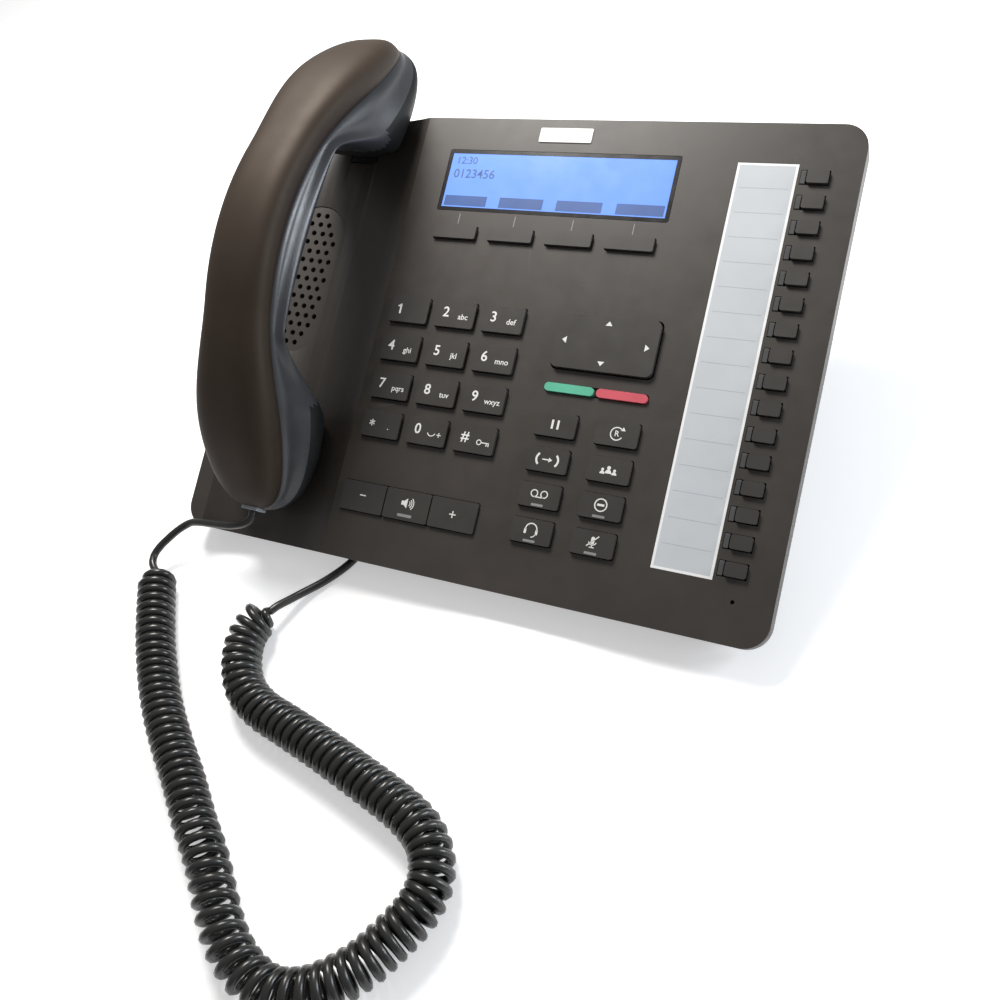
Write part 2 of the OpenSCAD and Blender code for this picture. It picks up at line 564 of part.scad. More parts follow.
front_cover();
rear_cover();
main_board();
keypad_mat();
loudspeaker();
speaker_grille();
display_module();
display_window();
label_card();
label_cover();
line_lamps();
rear_sockets();
cord_sockets();
case_screws();
rubber_feet();
base_plug();
base_lead();
cord_coil();
handset_lead();
hook_switch();
desk_stand();
handset_outer_shell();
handset_inner_shell();
handset_receiver();
handset_microphone();
handset_plug();
nav_pivot();
nav_pad();
call_key(0, [0.39, 0.75, 0.63]);  // answer_key
call_key(1, [0.8, 0.37, 0.41]);  // hang_up_key
volume_key(0);  // volume_down_key
volume_key(1);  // speaker_key
volume_key(2);  // volume_up_key
dial_key(0);  // dial_key_1
dial_key(1);  // dial_key_2
dial_key(2);  // dial_key_3
dial_key(3);  // dial_key_4
dial_key(4);  // dial_key_5
dial_key(5);  // dial_key_6
dial_key(6);  // dial_key_7
dial_key(7);  // dial_key_8
dial_key(8);  // dial_key_9
dial_key(9);  // dial_key_star
dial_key(10);  // dial_key_0
dial_key(11);  // dial_key_hash
soft_key(0);  // soft_key_1
soft_key(1);  // soft_key_2
soft_key(2);  // soft_key_3
soft_key(3);  // soft_key_4
fn_key(0);  // hold_key
fn_key(1);  // redial_key
fn_key(2);  // transfer_key
fn_key(3);  // conference_key
fn_key(4);  // voicemail_key
fn_key(5);  // do_not_disturb_key
fn_key(6);  // headset_key
fn_key(7);  // mute_key
line_keys(0, 5);  // line_keys_a
line_keys(6, 10);  // line_keys_b
line_keys(11, 15);  // line_keys_c
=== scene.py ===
import math

import bmesh
import bpy
from mathutils import Matrix, Vector


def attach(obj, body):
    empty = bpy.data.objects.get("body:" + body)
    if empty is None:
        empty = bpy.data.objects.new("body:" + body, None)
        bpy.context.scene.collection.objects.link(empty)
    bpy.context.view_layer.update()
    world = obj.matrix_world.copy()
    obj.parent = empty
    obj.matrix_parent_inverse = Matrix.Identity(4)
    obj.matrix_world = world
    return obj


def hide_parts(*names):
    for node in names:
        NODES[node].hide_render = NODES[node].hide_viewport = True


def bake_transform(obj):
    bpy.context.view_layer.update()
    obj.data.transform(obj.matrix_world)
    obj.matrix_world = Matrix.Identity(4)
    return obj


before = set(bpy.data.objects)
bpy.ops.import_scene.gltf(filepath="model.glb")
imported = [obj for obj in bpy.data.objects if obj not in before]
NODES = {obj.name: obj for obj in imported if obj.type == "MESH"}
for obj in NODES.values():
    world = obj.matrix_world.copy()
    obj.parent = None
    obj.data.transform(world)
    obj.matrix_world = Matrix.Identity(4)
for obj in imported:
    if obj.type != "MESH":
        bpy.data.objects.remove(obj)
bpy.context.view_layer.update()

MM = 0.001

# Sizes and places are in mm, most of them in the face frame: x to the right, y up the slope and
# z out of the face, with z = 0 on the face. Camera, lights and floor are in metres.

# The face of the phone: its slope, and the place of its middle over the desk
TILT = math.radians(25)
FACE_SHIFT = (-10.85, 50.615)


def face(x, y, z):
    """A point of the face frame, in mm, as a point of the row frame, in metres."""
    along = y * math.cos(TILT) - z * math.sin(TILT) + FACE_SHIFT[0]
    up = y * math.sin(TILT) + z * math.cos(TILT) + FACE_SHIFT[1]
    return Vector((x, along, up)) * MM


def face_matrix(x, y, z):
    """Where a flat piece drawn in mm lies on the face."""
    return Matrix.Translation(face(x, y, z)) @ Matrix.Rotation(TILT, 4, "X") @ Matrix.Scale(MM, 4)


# ---------------------------------------------------------------- camera

# Fitted to the corners of the face, the display, the labels and the keys in the photo
CAMERA_AT = Vector((0.1653, -0.2365, 0.3105))
CAMERA_BACK = Vector((0.406, -0.4752, 0.7802))
CAMERA_UP = Vector((-0.169, 0.8009, 0.5754))
LENS = 36
SENSOR = 36
CLIP_START = 0.01


def make_camera():
    back = CAMERA_BACK.normalized()
    right = CAMERA_UP.cross(back).normalized()
    up = back.cross(right)
    camera = bpy.data.objects.new("camera", bpy.data.cameras.new("camera"))
    camera.data.lens = LENS
    camera.data.sensor_width = SENSOR
    camera.data.clip_start = CLIP_START
    axes = Matrix((right, up, back)).transposed().to_4x4()
    camera.matrix_world = Matrix.Translation(CAMERA_AT) @ axes
    bpy.context.scene.collection.objects.link(camera)
    bpy.context.scene.camera = camera


# ---------------------------------------------------------------- materials

# Scales of the noise in colour and in gloss, the share of that noise which the colour's ramp
# spans, and the depth of the relief in metres
COLOUR_SCALE = 60
GLOSS_SCALE = 140
RAMP = (0.3, 0.7)
RELIEF = 0.0001
LIT_ROUGHNESS = 0.2


def linear(colour):
    """A display colour, 0 to 255, as linear values by the sRGB curve."""
    return tuple((c / 255 / 12.92) if c < 11 else ((c / 255 + 0.055) / 1.055) ** 2.4
                 for c in colour)


def surface(name, colour, roughness, grain=2600, bump=0.12, mottle=0.1, spread=0.08, **sockets):
    """A moulded surface: fine texture in its relief, slow changes in its colour and gloss."""
    material = bpy.data.materials.new(name)
    material.use_nodes = True
    tree = material.node_tree
    shader = tree.nodes["Principled BSDF"]
    coords = tree.nodes.new("ShaderNodeTexCoord")

    def noise(scale, detail):
        node = tree.nodes.new("ShaderNodeTexNoise")
        node.inputs["Scale"].default_value = scale
        node.inputs["Detail"].default_value = detail
        tree.links.new(coords.outputs["Object"], node.inputs["Vector"])
        return node.outputs["Fac"]

    base = linear(colour)
    ramp = tree.nodes.new("ShaderNodeValToRGB")
    dark, light = ramp.color_ramp.elements
    dark.position, light.position = RAMP
    dark.color = [c * (1 - mottle) for c in base] + [1]
    light.color = [min(1, c * (1 + mottle)) for c in base] + [1]
    tree.links.new(noise(COLOUR_SCALE, 4), ramp.inputs["Fac"])
    tree.links.new(ramp.outputs["Color"], shader.inputs["Base Color"])
    gloss = tree.nodes.new("ShaderNodeMapRange")
    gloss.inputs["To Min"].default_value = max(0, roughness - spread)
    gloss.inputs["To Max"].default_value = min(1, roughness + spread)
    tree.links.new(noise(GLOSS_SCALE, 3), gloss.inputs["Value"])
    tree.links.new(gloss.outputs["Result"], shader.inputs["Roughness"])
    relief = tree.nodes.new("ShaderNodeBump")
    relief.inputs["Strength"].default_value = bump
    relief.inputs["Distance"].default_value = RELIEF
    tree.links.new(noise(grain, 3), relief.inputs["Height"])
    tree.links.new(relief.outputs["Normal"], shader.inputs["Normal"])
    for socket, value in sockets.items():
        shader.inputs[socket.replace("_", " ")].default_value = value
    return material


def lit(name, colour, strength, **facts):
    """A surface with a glow of its own."""
    material = surface(name, colour, LIT_ROUGHNESS, **facts)
    shader = material.node_tree.nodes["Principled BSDF"]
    shader.inputs["Emission Color"].default_value = (*linear(colour), 1)
    shader.inputs["Emission Strength"].default_value = strength
    return material


def make_materials():
    return {
        "cover": surface("cover_satin", (57, 52, 48), 0.42, bump=0.2),
        "rear": surface("rear_satin", (52, 49, 46), 0.55, bump=0.22),
        "shell": surface("handset_satin", (47, 39, 33), 0.58, bump=0.1, spread=0.05,
                         Specular_IOR_Level=0.3, Specular_Tint=(1, 0.84, 0.7, 1)),
        "band": surface("handset_band_satin", (54, 55, 58), 0.32, bump=0.5, grain=1700),
        # Painted shade: the plain, darker inside of the handset's lower shell at its ends
        "inner": surface("handset_painted_shade", (25, 26, 27), 0.5, bump=0.1,
                         Specular_IOR_Level=0.2),
        "key": surface("key_satin", (55, 52, 50), 0.4, bump=0.14),
        "green": surface("answer_green", (95, 182, 152), 0.3, bump=0.03),
        "red": surface("hang_up_red", (205, 92, 104), 0.3, bump=0.03),
        "board": surface("board_green", (28, 88, 52), 0.4),
        "mat": surface("mat_silicone", (88, 88, 90), 0.6),
        "speaker": surface("speaker_dark", (70, 70, 74), 0.45),
        "lcd": lit("lcd_blue", (110, 150, 236), 0.27, bump=0.02, mottle=0.03, grain=900),
        "lcd_ink": surface("lcd_ink", (44, 84, 150), 0.4, bump=0.02),
        "bezel": surface("bezel_black", (18, 18, 20), 0.25, bump=0.03),
        "card": surface("card_grey", (192, 197, 202), 0.7, bump=0.1, mottle=0.03),
        "card_line": surface("card_line", (172, 177, 183), 0.7, bump=0.05, mottle=0.03),
        "card_edge": surface("card_edge_white", (236, 237, 238), 0.55, bump=0.05, mottle=0.02),
        "lamp": surface("lamp_grey", (140, 140, 142), 0.32, bump=0.05),
        "lamp_dark": surface("lamp_smoke", (78, 78, 79), 0.3, bump=0.05),
        "socket": surface("socket_black", (32, 32, 34), 0.45),
        "steel": surface("screw_steel", (170, 170, 174), 0.3, Metallic=1.0),
        "foot": surface("foot_rubber", (24, 24, 24), 0.8, bump=0.3),
        "plug": surface("plug_clear", (176, 182, 188), 0.15, bump=0.02, Alpha=0.7),
        "cord": surface("cord_black", (40, 40, 39), 0.3, bump=0.06, grain=1500),
        "ink": surface("print_white", (226, 226, 222), 0.6, bump=0.03, mottle=0.03),
        "plate": surface("plate_silver", (224, 224, 222), 0.3, bump=0.04, mottle=0.03),
        "floor": lit("floor_pale", (246, 246, 247), 0.45, bump=0.01, mottle=0.004),
    }


# ---------------------------------------------------------------- pieces

PRINT_THICK = 0.06
WORD_THICK = 0.025
WORD_STEPS = 4


def place(obj, body, material):
    """Links a finished piece, dresses it and lets it ride."""
    bpy.context.scene.collection.objects.link(obj)
    obj.data.materials.append(material)
    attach(obj, body)
    return obj


def smooth_mesh(name, points, faces):
    mesh = bpy.data.meshes.new(name)
    mesh.from_pydata([tuple(p) for p in points], [], faces)
    mesh.validate()
    mesh.polygons.foreach_set("use_smooth", [True] * len(mesh.polygons))
    return mesh


def flat_piece(name, outlines, at, body, material, thick=PRINT_THICK):
    """Thin raised print. Each outline is a closed list of points on the face, in mm, and
    at = (x, y, z) is where the piece has its base."""
    book = bmesh.new()
    for outline in outlines:
        low = [book.verts.new((x, y, 0)) for x, y in outline]
        high = [book.verts.new((x, y, thick)) for x, y in outline]
        book.faces.new(list(reversed(low)))
        book.faces.new(high)
        for i in range(len(low)):
            k = (i + 1) % len(low)
            book.faces.new((low[i], low[k], high[k], high[i]))
    bmesh.ops.triangulate(book, faces=book.faces[:])
    bmesh.ops.recalc_face_normals(book, faces=book.faces[:])
    mesh = bpy.data.meshes.new(name)
    book.to_mesh(mesh)
    book.free()
    mesh.transform(face_matrix(*at))
    return place(bpy.data.objects.new(name, mesh), body, material)


def words(name, text, size, at, body, material, align="CENTER", weight=0.03):
    """Printed characters, size in mm, standing a hair over the face they lie on."""
    curve = bpy.data.curves.new(name, "FONT")
    curve.body = text
    curve.size = size
    curve.offset = weight
    curve.align_x = align
    curve.align_y = "CENTER"
    curve.extrude = WORD_THICK
    curve.resolution_u = WORD_STEPS
    obj = bpy.data.objects.new(name, curve)
    obj.matrix_world = face_matrix(*at)
    return place(obj, body, material)


# Outlines, in mm
def box_outline(w, h, x=0, y=0):
    return [(x - w / 2, y - h / 2), (x + w / 2, y - h / 2),
            (x + w / 2, y + h / 2), (x - w / 2, y + h / 2)]


def round_outline(w, h, r, x=0, y=0, steps=5):
    """A box with corners of radius r."""
    corners = [(w / 2 - r, h / 2 - r, 0), (r - w / 2, h / 2 - r, 90),
               (r - w / 2, r - h / 2, 180), (w / 2 - r, r - h / 2, 270)]
    return [(x + cx + r * math.cos(math.radians(a + 90 * k / steps)),
             y + cy + r * math.sin(math.radians(a + 90 * k / steps)))
            for cx, cy, a in corners for k in range(steps + 1)]


def disc_outline(r, x=0, y=0, sides=24):
    return [(x + r * math.cos(2 * math.pi * k / sides), y + r * math.sin(2 * math.pi * k / sides))
            for k in range(sides)]


def arc_outline(r, width, start, end, x=0, y=0, steps=16):
    """A curved bar of radius r from angle start to angle end, in degrees."""
    angles = [math.radians(start + (end - start) * k / steps) for k in range(steps + 1)]
    outer = [(x + (r + width / 2) * math.cos(a), y + (r + width / 2) * math.sin(a)) for a in angles]
    inner = [(x + (r - width / 2) * math.cos(a), y + (r - width / 2) * math.sin(a)) for a in angles]
    return outer + inner[::-1]


def ring_outlines(r, width, x=0, y=0):
    return [arc_outline(r, width, 0, 180, x, y), arc_outline(r, width, 180, 360, x, y)]


def bar_outline(x0, y0, x1, y1, width):
    """A straight bar from one point to another."""
    along = Vector((x1 - x0, y1 - y0)).normalized() * width / 2
    side = (-along.y, along.x)
    return [(x0 + side[0], y0 + side[1]), (x0 - side[0], y0 - side[1]),
            (x1 - side[0], y1 - side[1]), (x1 + side[0], y1 + side[1])]


def frame_outlines(w, h, edge):
    """Four bars round a window."""
    return [box_outline(w, edge, 0, h / 2 - edge / 2), box_outline(w, edge, 0, edge / 2 - h / 2),
            box_outline(edge, h - 2 * edge, w / 2 - edge / 2, 0),
            box_outline(edge, h - 2 * edge, edge / 2 - w / 2, 0)]


# ---------------------------------------------------------------- cords

LEAD_D = 3.2
LEAD_SIDES = 12
COIL_D = 15.5

# The routes are in the row frame and run from the handset's end to the base's
COIL_ROUTE = [
    (-122, -117, 7.8), (-115, -128, 7.8), (-105, -143, 7.8), (-94, -157, 7.8), (-84, -168, 7.8),
    (-72, -179, 7.8), (-60, -189, 7.8), (-48, -200, 7.8), (-36, -210, 7.8), (-26, -220, 7.8),
    (-16, -229, 7.8), (-5, -235, 7.8), (6, -237, 7.8), (16, -234, 7.8), (24, -228, 7.8),
    (31, -220, 7.8), (36, -211, 7.8), (40, -202, 7.8), (41, -193, 7.8), (38, -185, 7.8),
    (32, -179, 7.8), (24, -175, 7.8), (15, -172, 7.8), (4, -169, 7.8), (-7, -166, 7.8),
    (-19, -163, 7.8), (-32, -160, 7.8), (-45, -157, 7.8), (-55, -152, 7.8), (-62, -144, 7.8),
    (-66, -135, 7.8), (-66, -127, 7.8), (-63, -121, 7.8)]
BASE_ROUTE = [
    (-63, -121, 7.8), (-61.5, -117.3, 7), (-59.5, -113.3, 5.4), (-57.5, -109.3, 3.8),
    (-55, -105.3, 2.6), (-52, -101.3, 1.9), (-49, -97.3, 1.75), (-46, -92.8, 1.75),
    (-43.6, -87.8, 1.75), (-42, -81.8, 1.75), (-41, -75.8, 1.75), (-40.3, -68.8, 1.75),
    (-40, -61.8, 1.75), (-40, -53.8, 1.75), (-40, -47.8, 1.75), (-40, -45.1, 1.9),
    (-40, -42.2, 3.6), (-40, -38.8, 5.9), (-40, -34.2, 8.3)]
HANDSET_ROUTE = [
    (-82, -87.75, 23.55), (-82.1, -90.4, 22.3), (-85, -92.8, 21), (-90.5, -94.1, 19.8),
    (-97, -94.4, 18.6), (-103, -94.4, 17.5), (-109, -94.4, 16.5), (-114, -94.8, 15.3),
    (-118, -96.6, 13.8), (-121.5, -99, 12.2), (-124.5, -102, 10.7), (-127, -105.6, 9.5),
    (-128.3, -109.4, 8.5), (-127.3, -113, 8), (-124.8, -115.4, 7.8), (-122, -117, 7.8)]

# Steps of the smooth curve between two points of a route
COIL_STEPS = 24
BASE_STEPS = 4
HANDSET_STEPS = 5

# The turns of the coil, judged from the photo: wider apart from WIDE_FROM to WIDE_TO along it,
# counted from the handset's end, with WIDE_EASE to change over. No point of a turn lies within
# END_CLEAR of the coil's ends, where the straight leads meet it.
PITCH = 3.85
PITCH_WIDE = 5.6
WIDE_FROM = 100
WIDE_TO = 215
WIDE_EASE = 40
TURN_POINTS = 16
TURN_INSET = 0.05
END_CLEAR = 0.6


def smooth_route(points, steps):
    """The points of a route on one smooth curve, in mm."""
    vectors = [Vector(p) for p in points]
    ends = [2 * vectors[0] - vectors[1]] + vectors + [2 * vectors[-1] - vectors[-2]]
    route = []
    for i in range(1, len(ends) - 2):
        a, b, c, d = ends[i - 1:i + 3]
        for k in range(steps):
            t = k / steps
            route.append(0.5 * (2 * b + (c - a) * t + (2 * a - 5 * b + 4 * c - d) * t * t
                                + (3 * b - a - 3 * c + d) * t ** 3))
    return route + [vectors[-1]]


def route_length(points):
    return sum((b - a).length for a, b in zip(points, points[1:]))


def across(ahead):
    """The level direction across a route, and the one that stands on it and on the route."""
    side = ahead.cross(Vector((0, 0, 1))).normalized()
    return side, side.cross(ahead)


def coil_points():
    """The wire of the curly part, from the base's end to the handset's."""
    middle = smooth_route(COIL_ROUTE[::-1], COIL_STEPS)
    total = route_length(middle)
    radius = (COIL_D - LEAD_D) / 2 - TURN_INSET
    points = []
    gone = 0.0
    turn = 0.0
    owed = 0.0
    for a, b in zip(middle, middle[1:]):
        step = (b - a).length
        side, over = across((b - a).normalized())
        from_handset = total - gone
        wide = min(1, max(0, min(from_handset - WIDE_FROM, WIDE_TO - from_handset) / WIDE_EASE))
        pitch = PITCH + (PITCH_WIDE - PITCH) * wide
        share = step / pitch * TURN_POINTS
        while owed < share:
            t = owed / share
            at = a.lerp(b, t)
            done = gone + step * t
            angle = 2 * math.pi * (turn + owed) / TURN_POINTS
            grown = radius * min(1, done / PITCH, (total - done) / PITCH)
            if min(done, total - done) > END_CLEAR:
                points.append(at + grown * (math.cos(angle) * side + math.sin(angle) * over))
            owed += 1
        turn += share
        owed -= share
        gone += step
    return points


def make_curly_cord(material):
    """The straight lead from the base and the coil, as one wire."""
    lead = smooth_route(BASE_ROUTE[::-1], BASE_STEPS)
    wire = lead[:-1] + coil_points() + [Vector(COIL_ROUTE[0])]
    curve = bpy.data.curves.new("curly_cord", "CURVE")
    curve.dimensions = "3D"
    curve.bevel_depth = LEAD_D / 2 * MM
    curve.bevel_resolution = 2
    curve.use_fill_caps = True
    spline = curve.splines.new("POLY")
    spline.points.add(len(wire) - 1)
    for point, at in zip(spline.points, wire):
        point.co = (*(at * MM), 1)
    spline.use_smooth = True
    cord = place(bpy.data.objects.new("curly_cord", curve), "console", material)
    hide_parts("cord_coil", "base_lead")


def tube_faces(rows, sides):
    """The faces of a closed tube of so many rows of points, with so many points in a row."""
    faces = [(i * sides + k, (i + 1) * sides + k,
              (i + 1) * sides + (k + 1) % sides, i * sides + (k + 1) % sides)
             for i in range(rows - 1) for k in range(sides)]
    return faces + [tuple(range(sides)), tuple(reversed(range((rows - 1) * sides, rows * sides)))]


def make_handset_cord(material):
    """The straight lead to the handset, a tube that stays in place and does not stretch when the
    handset lifts.
    """
    path = smooth_route(HANDSET_ROUTE, HANDSET_STEPS)
    angles = [2 * math.pi * k / LEAD_SIDES for k in range(LEAD_SIDES)]
    points = []
    for i, at in enumerate(path):
        ahead = path[min(i + 1, len(path) - 1)] - path[max(i - 1, 0)]
        side, over = across(ahead.normalized())
        points += [(at + LEAD_D / 2 * (math.cos(a) * side + math.sin(a) * over)) * MM
                   for a in angles]
    mesh = smooth_mesh("handset_cord", points, tube_faces(len(path), LEAD_SIDES))
    mesh.materials.append(material)
    short = bpy.data.objects.new("handset_cord", mesh)
    bpy.context.scene.collection.objects.link(short)
    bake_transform(short)
    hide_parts("handset_lead")


# ---------------------------------------------------------------- handset

# Place, length and slant of the handset, its parting line at the ends and at the top of the
# arch, and its underside at the ends
HS_X = -82
HS_SKEW = 4
HS_Y = 19
HS_LEN = 198
HS_Z0 = 8
HS_ARCH = 43
HS_FOOT = -4.65

# Depth and half width of the grip, half width of the ends, and height of the outer shell over
# the parting line at the grip and what the ends add to it
HS_GRIP_D = 14
HS_GRIP_W = 17.5
HS_END_W = 23.5
HS_CROWN = 9.5
HS_END_CROWN = 4.5

# Exponents of the forms: the arch along the handset, the rounding of its tips and of the lower
# shell's foot there, and the cross-section, which is squarer than an ellipse
ARCH_POWER = 1.2
TIP_POWERS = (8, 0.42)
FOOT_POWERS = (14, 0.5)
SECTION_POWER = 0.62

# The stretches, as shares of the half length, over which the grip widens to the ends, the outer
# shell gets its full height, and the underside drops from the grip to the foot
WIDENS = (0.3, 0.75)
CROWNS = (0.3, 0.8)
DROPS = (0.36, 0.6)

# Share of the half width at which the shells meet, how soon the lower shell grows past it, and
# the groove at the parting line: its gap, its depth, its least half width and its floor
HS_LAP = 0.76
LAP_END = 0.45
SEAM_GAP = 0.25
SEAM_DEPTH = 0.9
LIP_MIN = 0.2
LIP_OUT = 0.06

# Points along a shell and across it. ROW_EASE is how far the rows crowd towards the tips.
HS_ROWS = 180
HS_COLS = 44
ROW_EASE = 0.85

# The band on the lower shell, past which the shell is painted in shade: its columns of facets on
# each side, and the stretch, as a share of the half length, over which it opens out to cover the
# whole grip
BAND_COLS = 4
BAND_OPENS = (0.42, 0.6)


def ease(a, b, v):
    t = min(1, max(0, (v - a) / (b - a)))
    return t * t * (3 - 2 * t)


# Below, u runs from -1 at the mouth end of the handset to 1 at its ear end.
def hs_seam(u):
    return HS_Z0 + HS_ARCH * max(0, 1 - u * u) ** ARCH_POWER


def hs_middle(u):
    return HS_X + HS_SKEW * (1 + u) / 2


def hs_rounding(u, powers):
    """From 1 along the handset to 0 at its tips."""
    return max(0, 1 - abs(u) ** powers[0]) ** powers[1]


def hs_half(u):
    wide = HS_GRIP_W + (HS_END_W - HS_GRIP_W) * ease(*WIDENS, abs(u))
    return wide * hs_rounding(u, TIP_POWERS)


def hs_depth(u, side):
    """From the parting line to the top of the outer shell (side 1) or the foot of the lower one
    (side -1)."""
    if side > 0:
        return (HS_CROWN + HS_END_CROWN * ease(*CROWNS, abs(u))) * hs_rounding(u, TIP_POWERS)
    top = HS_Z0 + HS_ARCH - HS_GRIP_D
    low = top - (top - HS_FOOT) * ease(*DROPS, abs(u))
    return (hs_seam(u) - low) * hs_rounding(u, FOOT_POWERS)


def hs_share(i):
    """Where row i of a shell lies, as u."""
    t = 2 * i / HS_ROWS - 1
    return ROW_EASE * math.sin(math.pi / 2 * t) + (1 - ROW_EASE) * t


def shell_row(i, side):
    """Row i of a shell, from the one lip at the parting line round to the other."""
    u = hs_share(i)
    half, depth, seam = hs_half(u), hs_depth(u, side), hs_seam(u)
    y = HS_Y + u * HS_LEN / 2
    middle = hs_middle(u)
    lip = max(LIP_MIN, half * HS_LAP - SEAM_DEPTH)
    row = [face(middle + lip, y, seam + side * LIP_OUT)]
    for j in range(HS_COLS + 1):
        a = math.pi * j / HS_COLS
        lap = HS_LAP if side > 0 else HS_LAP + (1 - HS_LAP) * ease(0, LAP_END, math.sin(a))
        x = half * lap * math.copysign(abs(math.cos(a)) ** SECTION_POWER, math.cos(a))
        z = seam + side * (SEAM_GAP + depth * math.sin(a) ** SECTION_POWER)
        row.append(face(middle + x, y, z))
    row.append(face(middle - lip, y, seam + side * LIP_OUT))
    return row


def shell_piece(name, side, material, node):
    """One shell of the handset, with a lip that makes the groove at the parting line."""
    rows = HS_ROWS - 1
    width = HS_COLS + 3
    points = [p for i in range(1, HS_ROWS) for p in shell_row(i, side)]
    faces = [(i * width + j, i * width + j + 1, (i + 1) * width + j + 1, (i + 1) * width + j)
             for i in range(rows - 1) for j in range(width - 1)]
    faces += [((i + 1) * width, (i + 1) * width + width - 1, i * width + width - 1, i * width)
              for i in range(rows - 1)]
    faces += [tuple(reversed(range(width))), tuple(range((rows - 1) * width, rows * width))]
    if side > 0:
        faces = [tuple(reversed(f)) for f in faces]
    mesh = smooth_mesh(name, points, faces)
    shell = place(bpy.data.objects.new(name, mesh), "handset", material)
    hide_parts(node)
    return shell


def paint_shade_inside(shell, material):
    """Below its grained band, the lower shell is plain and painted darker at both ends, as shade
    where it turns under. The edge follows the facets, so it is stepped where the band opens out."""
    shell.data.materials.append(material)
    facets = HS_COLS + 2
    for i, facet in enumerate(shell.data.polygons[:facets * (HS_ROWS - 2)]):
        from_seam = min(i % facets, facets - 1 - i % facets)
        # A facet of row n lies halfway between rows n + 1 and n + 2 of the points.
        u = hs_share(i // facets + 1.5)
        opened = 1 - ease(*BAND_OPENS, abs(u))
        if from_seam > BAND_COLS + (HS_COLS / 2 - BAND_COLS) * opened:
            facet.material_index = 1


# Sound holes under the ends of the handset, drawn as dark dots that paint the shade inside the
# holes: the place of each group along the handset, and the radii of its rings. The dots lie in one
# plane and the shell curves away from it, so most of them hang a little clear of the shell.
SOUND_HOLES = {"ear_holes": (94, (3, 6)), "mouth_holes": (-56, (2.6,))}
DOT_R = 0.7
DOT_SIDES = 12
DOT_DROP = 0.3
DOT_THICK = 0.2


def make_sound_holes(material):
    for name, (y, rings) in SOUND_HOLES.items():
        dots = [disc_outline(DOT_R, 0, 0, DOT_SIDES)]
        for r in rings:
            count = int(2 * r)
            dots += [disc_outline(DOT_R, r * math.cos(2 * math.pi * k / count),
                                  r * math.sin(2 * math.pi * k / count), DOT_SIDES)
                     for k in range(count)]
        at = (hs_middle((y - HS_Y) * 2 / HS_LEN), y, HS_FOOT - DOT_DROP)
        flat_piece(name, dots, at, "handset", material, DOT_THICK)


def make_handset(m):
    shell_piece("handset_top_shell", 1, m["shell"], "handset_outer_shell")
    lower = shell_piece("handset_band_shell", -1, m["band"], "handset_inner_shell")
    # Paints shade on the lower shell's underside at both ends
    paint_shade_inside(lower, m["inner"])
    # Dark dots painted as the shade inside the sound holes
    make_sound_holes(m["bezel"])


# ---------------------------------------------------------------- keys and print

# Dial keys: the letters on each, the middle of the "2" key, the spacing, and the places of the
# digit and of the letters from the middle of a key
DIAL = {"1": "", "2": "abc", "3": "def", "4": "ghi", "5": "jkl", "6": "mno",
        "7": "pqrs", "8": "tuv", "9": "wxyz", "star": ".", "0": "", "hash": ""}
SIGNS = {"star": "*", "hash": "#"}
DIAL_X = -18.3
DIAL_Y = 9.3
DIAL_PX = 20.4
DIAL_PY = 15.6
DIGIT_X = -3.9
DIGIT_Y = 0.5
STAR_Y = -0.9
DIGIT_SIZE = 5.6
DIGIT_WEIGHT = 0.07
LETTERS_X = 3.6
LETTERS_Y = -0.9
LETTERS_SIZE = 3.1

# Heights of the keys' tops over the face, and of the print over them
DIAL_TOP = 1.5
KEY_TOP = 1.4
LOW_TOP = 1.0
NAV_TOP = 1.8
INK_LIFT = 0.02

# Function keys: the two columns, the first row and the spacing of the rows
FN_X = (32.4, 55.8)
FN_Y = -27.5
FN_PY = 13.15
REDIAL_SIZE = 2.9

# Volume and speaker keys, and the navigation key with the reach of its arrows up and across
VOL_X = -19.3
VOL_Y = -66.6
VOL_P = 19.7
SIGN_W = 2.6
NAV = (44.2, 4.2)
ARROW_UP = 7.4
ARROW_ACROSS = 15.6

# Lamps on keys: width, height and corner radius, their place on a key, how far they are sunk
# into its top, and their thickness. The icon on such a key stands ICON_RISE higher.
LAMPS_ON_KEYS = ("voicemail_key", "do_not_disturb_key", "headset_key", "mute_key")
LAMP_SIZE = (4.6, 0.9, 0.3)
LAMP_Y = -3.6
ICON_RISE = 0.5
SPEAKER_LAMP_SIZE = (6.2, 1.1, 0.4)
SPEAKER_LAMP_Y = -4.0
SPEAKER_RISE = 0.8
MINUS_RISE = 0.6
LAMP_SUNK = 0.1
LAMP_THICK = 0.2

# Widths of the lines in the icons
FINE = 0.35
LINE = 0.4
BOLD = 0.45


def ink_piece(name, outlines, at, body, m):
    """White print on a moving key."""
    flat_piece(name, outlines, at, body, m["ink"])


def lamp_piece(name, outline, x, y, top, body, m):
    """A lamp let into a key whose top is at height top."""
    flat_piece(name, [outline], (x, y, top - LAMP_SUNK), body, m["lamp"], LAMP_THICK)


